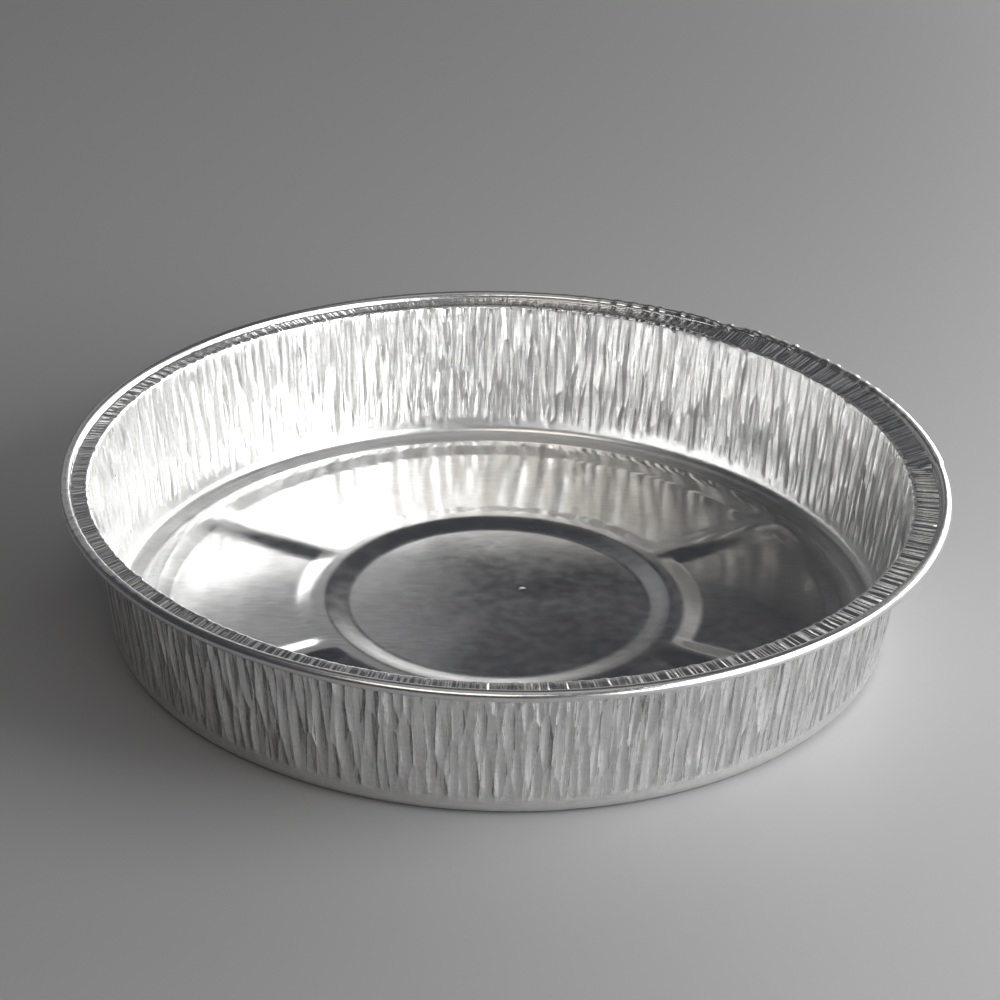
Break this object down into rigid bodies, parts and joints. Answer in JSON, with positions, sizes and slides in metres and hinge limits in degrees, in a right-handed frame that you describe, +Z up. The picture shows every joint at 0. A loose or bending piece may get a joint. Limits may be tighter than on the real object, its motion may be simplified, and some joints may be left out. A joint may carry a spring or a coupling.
{
  "type": "foil pie tin",
  "caption": "Shallow round tin pressed from one sheet of foil, with an embossed base, a gathered sloping wall, a narrow flange and a rolled rim.",
  "frame": {"origin": "on the table, at the middle of the tin's base", "axes": "+Z is up along the tin's axis; +X runs through the middle of one narrow base panel, between two ribs; +Y runs through the middle of one wide base panel"},
  "size_m": [0.2284, 0.2284, 0.0409],
  "materials": {
    "foil": "bright rolled aluminium foil, mirror-like on the flat base, finely gathered on the wall"
  },
  "bodies": {
    "root": {"tin": "foil"}
  },
  "joints": []
}
